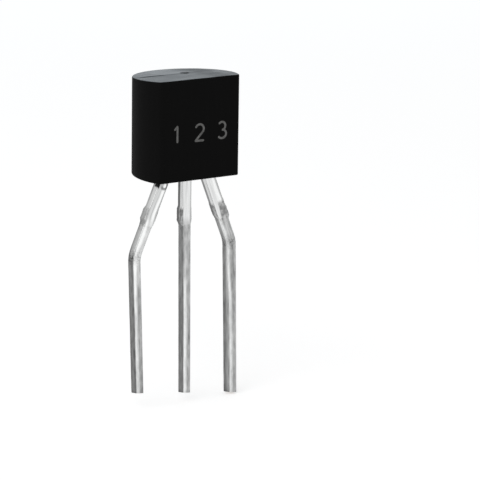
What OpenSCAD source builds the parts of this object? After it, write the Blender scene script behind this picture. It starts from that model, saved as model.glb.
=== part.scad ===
// Plastic-cased three-lead transistor, D-shaped case with leads in one row.
// Millimetres. +Z is up and the leads point down. The flat of the case faces -Y.
// The origin is on the middle lead's centre line, where it leaves the underside.

/* [Case] */
// Width of the case, which is the diameter of its round back
case_w = 4.8; // [4.2:0.05:5.8]
// Height of the case along its flat
case_h = 4.58; // [3.82:0.02:5.6]
// Distance from the middle of the leads to the flat
flat_y = 1.18; // [1:0.02:1.5]
// Mould taper of the top and of the underside, from the flat to the back, in degrees
case_taper = 2.4; // [0:0.2:4]
// Radius of the two upright corners beside the flat
corner_r = 0.15; // [0.05:0.05:0.4]
// Distance behind the leads of the line on the top where two mould parts meet
step_y = 0.7; // [0.4:0.05:1.2]
// How far the top behind that line stands above the top in front of it
step_h = 0.02; // [0.005:0.005:0.05]

/* [Gate mark] */
// Diameter of the shallow mark on the top where the mould filled
gate_d = 0.4; // [0.3:0.05:1]
// Depth of the gate mark below the top in front of the line
gate_depth = 0.03; // [0.01:0.01:0.1]
// Distance of the gate mark to the right of the middle lead
gate_x = 0.4; // [0:0.05:1]
// Distance of the gate mark behind the leads
gate_y = 0.7; // [0.5:0.05:1.2]

/* [Lead frame] */
// Thickness of the sheet that the leads are stamped from
lead_t = 0.4; // [0.35:0.01:0.5]
// Width of a lead below the cut tie bar
lead_w = 0.4; // [0.36:0.01:0.5]
// Width of a lead from the tie bar up into the case
root_w = 0.46; // [0.4:0.01:0.56]
// Distance between neighbouring leads where they leave the case
exit_pitch = 1.19; // [1:0.01:1.5]
// Length of the middle lead below the case
lead_len = 10.2; // [6:0.1:15]
// Slant of the cut that trimmed the three leads, falling from left to right, in degrees
trim_slant = 7.8; // [0:0.2:10]
// Tilt of that cut, falling from front to back, in degrees
trim_tilt = 9; // [0:0.5:12]

/* [Lead forming] */
// Depth below the case at which the outer leads start to spread
spread_z = 0.15; // [0.1:0.05:0.5]
// Radius of the bend where the outer leads start to spread
spread_r = 0.5; // [0.3:0.1:0.7]
// Radius of the bend at each knee, where the outer leads turn down again
knee_r = 1.2; // [0.6:0.1:1.6]
// Distance of the emitter lead's knee from the middle lead
emitter_knee_x = 2.66; // [2.2:0.01:3.2]
// Depth of the emitter lead's knee below the case
emitter_knee_z = 3.47; // [3:0.01:4.2]
// Lean of the emitter lead below its knee, inward, in degrees
emitter_lean = 1.9; // [-3:0.1:3]
// Distance of the collector lead's knee from the middle lead
collector_knee_x = 2.44; // [2.2:0.01:3.2]
// Depth of the collector lead's knee below the case
collector_knee_z = 3.32; // [3:0.01:4.2]
// Lean of the collector lead below its knee, inward, in degrees
collector_lean = -1.3; // [-3:0.1:3]
// Lean of the base lead below the tie bar, towards the collector lead, in degrees
base_lean = 0.55; // [0:0.05:1.5]

/* [Tie bar stubs] */
// Distance along each lead from the case to the tie bar that was cut away
tie_start = 1.52; // [1:0.01:1.8]
// Height of the tie bar
tie_h = 0.65; // [0.4:0.05:0.8]
// How far the cut stubs stand out on the outer side of a lead
stub_outer = 0.06; // [0.02:0.01:0.12]
// How far the cut stubs stand out on the inner side of a lead
stub_inner = 0.02; // [0.01:0.01:0.06]

/* [Inside the case] */
// How far the emitter's bond post and the die flag stand past the far edge of their leads
post_lip = 0.08; // [0.05:0.01:0.15]
// Height of the base lead's bond post above the underside, at its lower edge
base_post_z = 0.95; // [0.7:0.05:1]
// Width of the base lead's bond post
base_post_w = 0.84; // [0.7:0.02:1]
// Height of the base lead's bond post, from its lower to its upper edge
base_post_h = 0.6; // [0.4:0.05:0.7]
// Height of the emitter lead's bond post above the underside, at its lower edge
emitter_post_z = 2.2; // [1.6:0.05:2.4]
// Width of the emitter lead's bond post
emitter_post_w = 0.84; // [0.7:0.02:0.9]
// Height of the emitter lead's bond post, from its lower to its upper edge
emitter_post_h = 0.8; // [0.5:0.05:1]
// Height of the collector's die flag above the underside, at its lower edge
flag_z = 1.95; // [1.85:0.05:2.2]
// Thickness of the moulding above the die flag
flag_cover = 0.73; // [0.5:0.01:1]
// Gap between the die flag and the emitter's bond post
flag_gap = 0.4; // [0.3:0.05:0.5]
// Diameter of the hole that locks the die flag in the moulding
lock_d = 0.5; // [0.3:0.05:0.6]
// Radius of the notches that lock each lead in the moulding
notch_r = 0.1; // [0.05:0.01:0.12]
// Height of the lock notches above the underside
notch_z = 0.6; // [0.4:0.05:0.7]

/* [Die and bond wires] */
// Side of the square silicon die
die_w = 0.5; // [0.3:0.02:0.7]
// Thickness of the die
die_t = 0.2; // [0.12:0.01:0.28]
// Distance of the die's centre to the right of the middle lead
die_x = 0.25; // [0.2:0.05:0.4]
// Thickness of the solder under the die
solder_t = 0.03; // [0.02:0.005:0.05]
// Fillet of solder that shows round the die
solder_edge = 0.03; // [0.01:0.01:0.06]
// Distance of each bond pad from the die's centre
pad_off = 0.1; // [0.05:0.01:0.12]
// Diameter of a bond wire
wire_d = 0.05; // [0.03:0.005:0.08]
// Diameter of the ball that joins a bond wire to the die
ball_d = 0.1; // [0.08:0.01:0.14]
// Thickness of the ball
ball_t = 0.03; // [0.02:0.005:0.05]
// Height of a bond wire's loop above the die
loop_h = 0.3; // [0.2:0.02:0.36]
// Radius of the bends in a bond wire
wire_r = 0.12; // [0.08:0.01:0.15]

/* [Hidden] */
$fn = 96;

case_r = case_w / 2;
// Height of the case over the leads, where the taper has taken a little off
mid_h = case_h - 2 * flat_y * tan(case_taper);
// Centre of the arc that rounds the corner between the flat and the round back
corner_y = -flat_y + corner_r;
corner_x = sqrt(pow(case_r - corner_r, 2) - pow(corner_y, 2));
// A length well outside the case, for cutting shapes
beyond = 2 * (case_w + case_h);
// Length of the leads below the case before they are trimmed
uncut_len = 2 * lead_len;

emitter_post_right = -exit_pitch + root_w / 2 + post_lip;
flag_left = emitter_post_right + flag_gap;
flag_right = exit_pitch + root_w / 2 + post_lip;
flag_h = mid_h - flag_cover - flag_z;
flag_mid_z = flag_z + flag_h / 2;
emitter_foot = [-exit_pitch, emitter_post_z + emitter_post_h / 2];
base_foot = [0, base_post_z + base_post_h / 2];
die_face_y = -(lead_t / 2 + solder_t + die_t);

// Points of an arc of radius r that rounds the corner b of the path a, b, c
function rounded(a, b, c, r, steps = 8) =
    let (u = (a - b) / norm(a - b), v = (c - b) / norm(c - b),
         half = acos(u * v) / 2,
         centre = b + (u + v) / norm(u + v) * r / sin(half),
         from = b + u * r / tan(half) - centre,
         turn = (180 - 2 * half) * sign(u[1] * v[0] - u[0] * v[1]))
    [for (i = [0 : steps]) centre + turned(from, turn * i / steps)];

function turned(v, a) = [v[0] * cos(a) - v[1] * sin(a), v[0] * sin(a) + v[1] * cos(a)];

// Direction of a path at point i, from its neighbours
function along(path, i) =
    let (d = path[min(i + 1, len(path) - 1)] - path[max(i - 1, 0)]) d / norm(d);

// Closed outline of a strip of width w along a path
function strip(path, w) = concat(
    [for (i = [0 : len(path) - 1]) path[i] - turned(along(path, i), 90) * w / 2],
    [for (i = [len(path) - 1 : -1 : 0]) path[i] + turned(along(path, i), 90) * w / 2]);

// Unit vector of the spreading run of an outer lead, from the case to its knee
function spread_dir(knee) = let (d = knee - spread_start(knee)) d / norm(d);
function spread_start(knee) = [sign(knee[0]) * exit_pitch, -spread_z];

// Centre line of an outer lead, from the height top down past the trimmed end
function outer_path(top, knee, lean) =
    let (start = spread_start(knee),
         end = knee + uncut_len * [-sign(knee[0]) * sin(lean), -cos(lean)],
         above = [start[0], top])
    concat([above], rounded(above, start, knee, spread_r),
           rounded(start, knee, end, knee_r), [end]);

// The part of it from the height top to the middle of the tie bar
function outer_root(top, knee) =
    let (start = spread_start(knee), above = [start[0], top])
    concat([above], rounded(above, start, knee, spread_r),
           [start + spread_dir(knee) * (tie_start + tie_h / 2 - spread_z)]);

// Centre line of the base lead, from the underside down past the trimmed end
function base_path() =
    let (bend = [0, -tie_start - tie_h / 2])
    [[0, 0], bend, bend + uncut_len * [sin(base_lean), -cos(base_lean)]];

// D-shaped section of the case: a disc cut by the flat, with rounded corners
module case_section() {
    difference() {
        circle(case_r);
        translate([-beyond / 2, -flat_y - beyond]) square(beyond);
        for (side = [-1, 1]) corner_waste(side);
    }
}

// The waste outside the rounding arc at one end of the flat
module corner_waste(side) {
    reach = case_r / norm([corner_x, corner_y]);
    difference() {
        polygon([[side * corner_x, corner_y],
                 [side * corner_x, -flat_y],
                 [side * (corner_x + 4 * corner_r), -flat_y],
                 [side * corner_x * reach, corner_y * reach]]);
        translate([side * corner_x, corner_y]) circle(corner_r);
    }
}

// Heights of the tapered underside, and of the top in front of the line, at y
function underside_z(y) = y * tan(case_taper);
function top_z(y) = mid_h - y * tan(case_taper);

// Side view of the case, tallest at the flat
module case_profile() {
    polygon([[-flat_y, underside_z(-flat_y)], [case_r, underside_z(case_r)],
             [case_r, top_z(case_r) + step_h], [step_y, top_z(step_y) + step_h],
             [step_y, top_z(step_y)], [-flat_y, top_z(-flat_y)]]);
}

module case_solid() {
    difference() {
        intersection() {
            linear_extrude(beyond, center = true) case_section();
            rotate([90, 0, 90]) linear_extrude(beyond, center = true) case_profile();
        }
        translate([gate_x, gate_y, top_z(gate_y) - gate_depth])
            rotate([-case_taper, 0, 0]) cylinder(d = gate_d, h = case_h);
    }
}

// Stands an outline drawn in X and Z up as sheet metal in the plane of the leads
module stamped() {
    rotate([90, 0, 0]) linear_extrude(lead_t, center = true) children();
}

// A lead with everything below the slanted cut taken off
module trimmed() {
    difference() {
        children();
        translate([0, 0, -lead_len]) rotate([-trim_tilt, trim_slant, 0])
            translate([-beyond, -beyond, -2 * uncut_len])
                cube([2 * beyond, 2 * beyond, 2 * uncut_len]);
    }
}

// The cut ends of the tie bar on both sides of a lead, at a distance along dir from start
module stubs(start, dir, distance, outer_side) {
    left = outer_side < 0 ? stub_outer : stub_inner;
    right = outer_side < 0 ? stub_inner : stub_outer;
    translate(start) rotate(atan2(dir[0], -dir[1]))
        translate([-root_w / 2 - left, -distance - tie_h])
            square([left + root_w + right, tie_h]);
}

// Notches on both edges of a lead at x, just inside the case
module lock_notches(x) {
    for (side = [-1, 1]) translate([x + side * root_w / 2, notch_z]) circle(notch_r);
}

// Outline of an outer lead below the height top
module outer_shank(top, knee, lean) {
    difference() {
        union() {
            polygon(strip(outer_path(top, knee, lean), lead_w));
            polygon(strip(outer_root(top, knee), root_w));
            stubs(spread_start(knee), spread_dir(knee), tie_start - spread_z, sign(knee[0]));
        }
        lock_notches(sign(knee[0]) * exit_pitch);
    }
}

module emitter_lead_solid() {
    trimmed() stamped() {
        outer_shank(emitter_post_z + emitter_post_h / 2,
                    [-emitter_knee_x, -emitter_knee_z], emitter_lean);
        translate([emitter_post_right - emitter_post_w, emitter_post_z])
            square([emitter_post_w, emitter_post_h]);
    }
}

module base_lead_solid() {
    trimmed() stamped() {
        difference() {
            union() {
                polygon(strip(base_path(), lead_w));
                translate([-root_w / 2, -tie_start - tie_h / 2])
                    square([root_w, tie_start + tie_h / 2 + base_post_z + base_post_h / 2]);
                stubs([0, 0], [0, -1], tie_start, -1);
            }
            lock_notches(0);
        }
        translate([-base_post_w / 2, base_post_z]) square([base_post_w, base_post_h]);
    }
}

module collector_lead_solid() {
    trimmed() stamped() {
        outer_shank(flag_mid_z, [collector_knee_x, -collector_knee_z], collector_lean);
        difference() {
            translate([flag_left, flag_z]) square([flag_right - flag_left, flag_h]);
            translate([flag_right - root_w / 2 - lock_d / 2, flag_z + flag_h - lock_d])
                circle(d = lock_d);
        }
    }
}

module die_attach_solid() {
    translate([die_x - die_w / 2 - solder_edge, -lead_t / 2 - solder_t,
               flag_mid_z - die_w / 2 - solder_edge])
        cube([die_w + 2 * solder_edge, solder_t, die_w + 2 * solder_edge]);
}

module die_solid() {
    translate([die_x - die_w / 2, die_face_y, flag_mid_z - die_w / 2])
        cube([die_w, die_t, die_w]);
}

// A wire from a pad on the die to a foot on a bond post, both given as [x, z]:
// a ball, a riser, a bend, a level run, a second bend and a leg down to the post
module bond_wire(pad, foot) {
    span = norm(foot - pad);
    riser = loop_h - wire_r;
    leg = riser - die_face_y - lead_t / 2;
    translate([pad[0], die_face_y, pad[1]])
        rotate([90, atan2(pad[1] - foot[1], foot[0] - pad[0]), 0]) {
            cylinder(d = ball_d, h = ball_t);
            cylinder(d = wire_d, h = riser);
            translate([wire_r, 0, riser]) rotate([90, 0, 0]) wire_bend(90);
            translate([wire_r, 0, loop_h]) rotate([0, 90, 0])
                cylinder(d = wire_d, h = span - 2 * wire_r);
            translate([span - wire_r, 0, riser]) rotate([90, 0, 0]) wire_bend(0);
            translate([span, 0, riser - leg]) cylinder(d = wire_d, h = leg);
        }
}

// A quarter turn of wire, from the angle start
module wire_bend(start) {
    rotate(start) rotate_extrude(angle = 90) translate([wire_r, 0]) circle(d = wire_d);
}

module emitter_wire_solid() {
    bond_wire([die_x - pad_off, flag_mid_z + pad_off], emitter_foot);
}

module base_wire_solid() {
    bond_wire([die_x + pad_off, flag_mid_z - pad_off], base_foot);
}

// The epoxy fills the whole D and is moulded round everything inside it
module case() {
    color([0.07, 0.07, 0.08]) difference() {
        case_solid();
        emitter_lead_solid();
        base_lead_solid();
        collector_lead_solid();
        die_attach_solid();
        die_solid();
        emitter_wire_solid();
        base_wire_solid();
    }
}
module emitter_lead() { color([0.78, 0.79, 0.79]) emitter_lead_solid(); }
module base_lead() { color([0.78, 0.79, 0.79]) base_lead_solid(); }
module collector_lead() { color([0.78, 0.79, 0.79]) collector_lead_solid(); }
module die_attach() { color([0.62, 0.63, 0.66]) die_attach_solid(); }
module die() { color([0.3, 0.33, 0.4]) die_solid(); }
module emitter_bond_wire() { color([0.95, 0.77, 0.3]) emitter_wire_solid(); }
module base_bond_wire() { color([0.95, 0.77, 0.3]) base_wire_solid(); }

case();
emitter_lead();
base_lead();
collector_lead();
die_attach();
die();
emitter_bond_wire();
base_bond_wire();
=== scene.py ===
# %% [markdown]
# # A three-lead transistor in a D-shaped case
# A chip the size of a grain of sand sits on a stamped metal lead. Black resin is moulded round it,
# and three tinned leads come out of the underside. The CAD model holds every size, so this file
# starts from it, and makes the surfaces that the eye looks for: soft mould edges, tin that flowed
# round the corners of the leads, cut marks, and the number burnt in over each lead.

# %% Load the measured parts
import math
from functools import partialmethod

import bmesh
import bpy
import numpy as np
from mathutils import Matrix, Vector
from mathutils.bvhtree import BVHTree


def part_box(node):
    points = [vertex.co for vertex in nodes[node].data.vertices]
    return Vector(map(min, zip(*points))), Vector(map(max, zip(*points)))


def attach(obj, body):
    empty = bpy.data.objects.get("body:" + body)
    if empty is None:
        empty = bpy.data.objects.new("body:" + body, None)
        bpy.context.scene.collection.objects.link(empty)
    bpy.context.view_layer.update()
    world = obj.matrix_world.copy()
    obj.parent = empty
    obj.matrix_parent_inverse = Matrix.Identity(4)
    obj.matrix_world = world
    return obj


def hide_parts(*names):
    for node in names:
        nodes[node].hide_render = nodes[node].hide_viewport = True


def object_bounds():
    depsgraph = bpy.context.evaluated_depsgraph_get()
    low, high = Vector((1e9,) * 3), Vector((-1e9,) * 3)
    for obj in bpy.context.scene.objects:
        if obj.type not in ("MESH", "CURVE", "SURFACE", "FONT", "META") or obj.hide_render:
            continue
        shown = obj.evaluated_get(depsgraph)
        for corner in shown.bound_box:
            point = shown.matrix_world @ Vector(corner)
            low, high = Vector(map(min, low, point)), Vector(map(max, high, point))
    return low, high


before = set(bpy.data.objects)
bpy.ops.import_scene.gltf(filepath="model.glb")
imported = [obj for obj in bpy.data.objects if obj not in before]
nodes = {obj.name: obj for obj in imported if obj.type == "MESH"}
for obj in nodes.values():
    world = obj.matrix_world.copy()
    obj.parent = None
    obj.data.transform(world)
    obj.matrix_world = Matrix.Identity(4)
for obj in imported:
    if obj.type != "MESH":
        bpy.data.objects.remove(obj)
cad_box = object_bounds()
MM = 0.001


def put(name, data):
    """A new object in the scene."""
    made = bpy.data.objects.new(name, data)
    bpy.context.scene.collection.objects.link(made)
    return made


print("parts:", ", ".join(sorted(nodes)))
print("size in mm:", [round((b - a) / MM, 2) for a, b in zip(*cad_box)])

# %% [markdown]
# ## Reading shapes off the parts
# A part's box gives its overall size. For anything finer, such as where a lead bends, the mesh
# itself can be asked. Two small probes do that: a ray that finds how high a surface is, and a line
# drawn across a part that finds its two edges. When the part changes, everything below follows.

# %% Two probes
def surface_probe(node):
    """A function that gives the height where a ray at x, y lands on a part."""
    mesh = nodes[node].data
    tree = BVHTree.FromPolygons(
        [v.co for v in mesh.vertices], [tuple(p.vertices) for p in mesh.polygons]
    )
    far = 50 * MM

    def height(x, y, way=-1):
        hit = tree.ray_cast(Vector((x, y, -way * far)), Vector((0, 0, way)))[0]
        return hit.z if hit else None

    return height


def outline_edges(node):
    """The ends of every mesh edge of a lead, seen from the front, as x and z."""
    mesh = nodes[node].data
    co = np.array([(v.co.x, v.co.z) for v in mesh.vertices])
    return co[np.array([e.vertices[:] for e in mesh.edges])]


def edges_across(edges, point, direction):
    """How far the outline reaches from a point, backwards and forwards along a direction."""
    side = np.array((-direction[1], direction[0]))
    away = (edges - point) @ side
    cut = away[:, 0] * away[:, 1] < 0
    share = away[cut, 0] / (away[cut, 0] - away[cut, 1])
    along = (edges[cut] - point) @ direction
    reach = along[:, 0] + share * (along[:, 1] - along[:, 0])
    return reach.min(), reach.max()


print("top of the case, in mm:", round(surface_probe("case")(0.0, 0.0) / MM, 2))

# %% [markdown]
# ## Camera
# A long lens from a little to the left of the flat and slightly above keeps the upright edges
# nearly parallel, as in a catalogue picture. The camera looks past the part, to the right and
# below, which puts it in its place in the frame. A lens shift could do that too, but would push
# the part out of the frame when the camera is moved round it.

# %% Camera
CAMERA_AZIMUTH = 33
CAMERA_ELEVATION = 10.84
CAMERA_ROLL = 0.58
CAMERA_DISTANCE = 130 * MM
CAMERA_LENS = 217.55
NEAREST_SEEN = 5 * MM
AIM_RIGHT = 2.45 * MM
AIM_DOWN = 5.15 * MM

case_low, case_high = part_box("case")
target = Vector((0, 0, (case_low.z + case_high.z) / 2))


def way_to(azimuth, elevation):
    """The way from the case to a place this many degrees left of the flat's front, and up."""
    turn = math.radians(azimuth)
    rise = math.radians(elevation)
    out = math.cos(rise)
    return Vector((-math.sin(turn) * out, -math.cos(turn) * out, math.sin(rise)))


backwards = way_to(CAMERA_AZIMUTH, CAMERA_ELEVATION)
camera_data = bpy.data.cameras.new("camera")
camera_data.lens = CAMERA_LENS
camera_data.clip_start = NEAREST_SEEN
camera = put("camera", camera_data)
upright = (-backwards).to_track_quat("-Z", "Y").to_matrix().to_4x4()
past = Vector((AIM_RIGHT, -AIM_DOWN, -CAMERA_DISTANCE))
aim = Vector((0, 0, -1)).rotation_difference(past)
camera.matrix_world = (
    Matrix.Translation(target + backwards * CAMERA_DISTANCE)
    @ upright
    @ Matrix.Rotation(math.radians(CAMERA_ROLL), 4, "Z")
    @ aim.to_matrix().to_4x4()
)
bpy.context.scene.camera = camera
bpy.context.scene.view_settings.view_transform = "Standard"
print("camera at, in mm:", [round(c / MM, 1) for c in camera.matrix_world.translation])

# %% [markdown]
# ## A shorthand for node trees
# A material or a Geometry Nodes tree is a network of small steps, and is hard to read one link at
# a time. `Net` adds a node with its inputs in one call, and `Signal` wraps one output of a node,
# so that `1 - mask * 0.3` adds the Math nodes that it says.

# %% Signal: one output of a node
class Signal:
    """One output of a node. Arithmetic on it adds nodes."""

    def __init__(self, net, socket):
        self.net = net
        self.socket = socket

    def of(self, name):
        return Signal(self.net, find_socket(self.socket.node.outputs, name))

    def math(self, operation, *others):
        return self.net.node("ShaderNodeMath", dict(enumerate((self, *others))), operation=operation)

    def pair(self, operation, other, swapped=False):
        """Adds a Math node, or a Vector Math node where one of the two is a vector or colour."""
        both = (other, self) if swapped else (self, other)
        kinds = {v.socket.type for v in both if isinstance(v, Signal)}
        kind = "ShaderNodeVectorMath" if kinds & {"VECTOR", "RGBA"} else "ShaderNodeMath"
        return self.net.node(kind, dict(enumerate(both)), operation=operation)

    __add__ = __radd__ = partialmethod(pair, "ADD")
    __mul__ = __rmul__ = partialmethod(pair, "MULTIPLY")
    __sub__ = partialmethod(pair, "SUBTRACT")
    __rsub__ = partialmethod(pair, "SUBTRACT", swapped=True)
    __truediv__ = partialmethod(pair, "DIVIDE")
    __rtruediv__ = partialmethod(pair, "DIVIDE", swapped=True)

    def clamp(self, low, high):
        """Rises with eased ends from 0 at low to 1 at high, which may be the lower of the two."""
        ends = {"Value": self, "From Min": min(low, high), "From Max": max(low, high)}
        edge = self.net.node("ShaderNodeMapRange", ends, interpolation_type="SMOOTHSTEP")
        return 1 - edge if high < low else edge

    def root(self):
        return self.math("SQRT")

    def absolute(self):
        return self.math("ABSOLUTE")

    def near(self, place, none, full):
        """1 up to the distance `full` from a place, and 0 from the distance `none`."""
        return (self - place).absolute().clamp(none, full)

    def length(self):
        return self.net.node("ShaderNodeVectorMath", {0: self}, operation="LENGTH").of("Value")

    def limited(self, low, high):
        return self.math("MAXIMUM", low).math("MINIMUM", high)

    def part(self, axis):
        return self.net.node("ShaderNodeSeparateXYZ", {0: self}).of(axis)

    x = property(lambda self: self.part("X"))
    y = property(lambda self: self.part("Y"))
    z = property(lambda self: self.part("Z"))


print("steps of a signal:", [name for name in vars(Signal) if name[0] != "_"])

# %% Net: a tree that is written one step a line
def find_socket(sockets, key):
    """A socket by its number, its name or its identifier."""
    if isinstance(key, int):
        return sockets[key]
    return next(s for s in sockets if s.enabled and key in (s.name, s.identifier))


class Net:
    """A node tree. Each call adds one node: its kind, its inputs, and its settings by name."""

    def __init__(self, tree):
        self.tree = tree
        self.tree.nodes.clear()

    def node(self, kind, inputs=None, **settings):
        made = self.tree.nodes.new(kind)
        for name, value in settings.items():
            setattr(made, name, value)
        for key, value in (inputs or {}).items():
            socket = find_socket(made.inputs, key)
            for source in value if isinstance(value, list) else [value]:
                if isinstance(source, Signal):
                    self.tree.links.new(source.socket, socket)
                elif socket.type == "VECTOR" and isinstance(source, (int, float)):
                    socket.default_value = (source, source, source)
                else:
                    socket.default_value = source
        outputs = [s for s in made.outputs if s.enabled]
        return Signal(self, outputs[0]) if outputs else None

    def tell(self, what):
        print(what, "ends at node", len(self.tree.nodes))

    def place(self):
        """Object coordinates, which stay with the piece."""
        return self.node("ShaderNodeTexCoord").of("Object")

    def facing(self):
        return self.node("ShaderNodeTexCoord").of("Normal")

    def vector(self, x, y, z):
        return self.node("ShaderNodeCombineXYZ", {"X": x, "Y": y, "Z": z})

    def colour(self, red, green, blue):
        return self.node("ShaderNodeCombineColor", {"Red": red, "Green": green, "Blue": blue})

    def mix(self, factor, low, high):
        ends = {"Factor": factor, "A": low, "B": high}
        return self.node("ShaderNodeMix", ends, data_type="RGBA")

    def noise(self, vector, size, detail=2.0):
        """Soft random values about 0.5. The size of a blotch is one number or three."""
        scale = tuple(1 / v for v in size) if isinstance(size, tuple) else 1 / size
        inputs = {"Vector": vector * scale, "Scale": 1.0, "Detail": detail}
        return self.node("ShaderNodeTexNoise", inputs)

    def stored(self, name):
        """A vector stored on the points, read in a material."""
        return self.node("ShaderNodeAttribute", attribute_name=name).of("Vector")

    def bump(self, height, distance, strength):
        inputs = {"Height": height, "Distance": distance, "Strength": strength}
        return self.node("ShaderNodeBump", inputs)


print("steps of a net:", [name for name in vars(Net) if name[0] != "_"])

# %% Colours, and how a material starts and ends
def grey(level, blue=0.0):
    """A grey with a little more or less blue in it."""
    return (level * (1 - blue), level, level * (1 + blue), 1.0)


def new_material(name):
    material = bpy.data.materials.new(name)
    material.use_nodes = True
    return material, Net(material.node_tree)


def finish_material(net, inputs):
    """Ends a material with a Principled shader that has these inputs."""
    shader = net.node("ShaderNodeBsdfPrincipled", inputs)
    net.node("ShaderNodeOutputMaterial", {"Surface": shader})


print("a grey with a little blue in it:", grey(0.42, 0.02))

# %% [markdown]
# ## Floor and light
# The floor is a plain pale sheet at the tips of the leads. A soft key light stands to the left
# of the camera, a cooler one behind the part grazes its top, and the world fills the rest.
# Lamps are set by the brightness of their face, because that is what shows in the tin.

# %% World
WHITE = 1.0
FILL = 0.5


def to_camera_or_mirror(net):
    """1 for what is seen, directly or in a reflection, and 0 for the light it gives."""
    path = net.node("ShaderNodeLightPath")
    seen = path.of("Is Camera Ray") + path.of("Is Glossy Ray") + path.of("Is Transmission Ray")
    return seen.limited(0.0, 1.0)


world = bpy.data.worlds.new("studio")
world.use_nodes = True
bpy.context.scene.world = world
net = Net(world.node_tree)
seen = to_camera_or_mirror(net)
level = seen * (WHITE - FILL) + FILL
sky = net.node("ShaderNodeBackground", {"Color": grey(1.0), "Strength": level})
net.node("ShaderNodeOutputWorld", {"Surface": sky})
net.tell("the world")

# %% Floor
FLOOR_SIZE = 4.0
FLOOR_GREY = 0.82
FLOOR_LIFT = 0.5
FAR_LIFT = 0.09
NEAR_FLOOR = 0.1
FAR_FLOOR = 0.5

floor_z = cad_box[0].z
floor_mesh = bpy.data.meshes.new("floor")
half = FLOOR_SIZE / 2
corners = [(-half, -half), (half, -half), (half, half), (-half, half)]
floor_mesh.from_pydata([(x, y, floor_z) for x, y in corners], [], [(0, 1, 2, 3)])
floor = put("floor", floor_mesh)
floor_material, net = new_material("pale_floor")
matt = net.node("ShaderNodeBsdfDiffuse", {"Color": grey(FLOOR_GREY)})
far = net.place().length().clamp(NEAR_FLOOR, FAR_FLOOR)
level = to_camera_or_mirror(net) * (far * FAR_LIFT + FLOOR_LIFT)
lift = net.node("ShaderNodeEmission", {"Color": grey(1.0), "Strength": level})
both = net.node("ShaderNodeAddShader", {0: matt, 1: lift})
net.node("ShaderNodeOutputMaterial", {"Surface": both})
floor_mesh.materials.append(floor_material)
print("floor at, in mm:", round(floor_z / MM, 2))


# %% Two soft lamps
def softbox(name, azimuth, elevation, distance, size, brightness, colour=(1, 1, 1)):
    data = bpy.data.lights.new(name, "AREA")
    data.shape = "SQUARE"
    data.size = size
    data.energy = brightness * math.pi * size * size
    data.color = colour
    lamp = put(name, data)
    way = way_to(azimuth, elevation)
    lamp.location = target + way * distance
    lamp.rotation_mode = "QUATERNION"
    lamp.rotation_quaternion = (-way).to_track_quat("-Z", "Y")


softbox("key", azimuth=62, elevation=30, distance=160 * MM, size=170 * MM, brightness=1.1)
softbox("back", azimuth=213, elevation=16, distance=200 * MM, size=120 * MM, brightness=0.4,
        colour=(0.72, 0.94, 1.1))
print("lamps:", [o.name for o in bpy.context.scene.objects if o.type == "LIGHT"])

# %% [markdown]
# ## The leads
# Each lead is cut from sheet with a press, bent, and dipped in tin. The tin rounds the four long
# corners and flows down in long shallow ripples. A bevel on the CAD mesh would give even corners,
# but nothing to carry the ripples. So each lead is swept along its own middle line: a rounded
# section rides down it, and reads how far the sheet reaches to each side there.

# %% Measure the middle line of each lead
TOP_INSIDE = 0.2 * MM
ROW_STEP = 0.05 * MM
SMOOTH_ROWS = 5
CUT_ZONE = 0.3 * MM
CUT_CLEAR = 0.15 * MM
LEAD_NAMES = ("emitter_lead", "base_lead", "collector_lead")


def cut_plane(node):
    """The cut at the tip of a lead: its middle, and its fall to the right and back."""
    points = np.array([tuple(v.co) for v in nodes[node].data.vertices])
    tip = points[points[:, 2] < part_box(node)[0].z + CUT_ZONE]
    middle = (tip.min(axis=0) + tip.max(axis=0)) / 2
    table = np.column_stack((np.ones(len(tip)), tip[:, 0] - middle[0], tip[:, 1]))
    height, right, back = np.linalg.lstsq(table, tip[:, 2], rcond=None)[0]
    return np.array((middle[0], height)), right, back


def running_mean(values, rows):
    """Each value becomes a mean over this many neighbours on either side."""
    kernel = np.ones(2 * rows + 1) / (2 * rows + 1)
    return np.convolve(np.pad(values, rows, mode="edge"), kernel, mode="valid")


def middle_line(node):
    """A lead's middle line as x and z, from inside the case down to its tip."""
    edges = outline_edges(node)
    tip, right, back = cut_plane(node)
    heights = np.arange(TOP_INSIDE, tip[1] + CUT_CLEAR, -ROW_STEP)
    sideways = np.array((1.0, 0.0))
    xs = [sum(edges_across(edges, np.array((0.0, z)), sideways)) / 2 for z in heights]
    line = np.column_stack((running_mean(xs, SMOOTH_ROWS), heights))
    return np.vstack((line, tip)), right, back


for name in LEAD_NAMES:
    print(name, "ends at, in mm:", np.round(middle_line(name)[0][-1] / MM, 2))

# %% Stubs of the cut tie bar
STUB_RATIO = 1.1
NARROW_RATIO = 0.95
STUB_ROWS = 14
TORN_BEFORE = 2
ROOT_TAIL = 2
STUB_DROP = {"collector_lead": 5}


def soften(values):
    """A short running mean, because tin rounds off every step under it."""
    return running_mean(values, 1)


def square_stubs(node, reach):
    """Squares the stubs, lowers the right one of a lead, and returns the torn rows."""
    width = reach.sum(axis=1)
    half_root = width[0] / 2
    torn = (width > STUB_RATIO * width[0]).astype(float)
    narrow = int(np.argmax(width < NARROW_RATIO * width[0]))
    start = narrow - STUB_ROWS
    drop = STUB_DROP.get(node, 0)
    reach[narrow:narrow + ROOT_TAIL] = half_root
    reach[start + drop:narrow + drop, 1] = reach[start:narrow, 1]
    reach[start:start + drop, 1] = half_root
    torn[narrow - TORN_BEFORE:narrow + ROOT_TAIL] = 1
    print(node, "has its stubs at the rows", start, "to", narrow)
    return soften(torn)


# %% Rows down each lead
TIP_EDGE = 0.03 * MM
TIP_SKEW = 0.3 * MM
TIP_DARK = 0.16 * MM
TIP_ROWS = 5
BEND_RADIUS = 1.2 * MM


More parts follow.
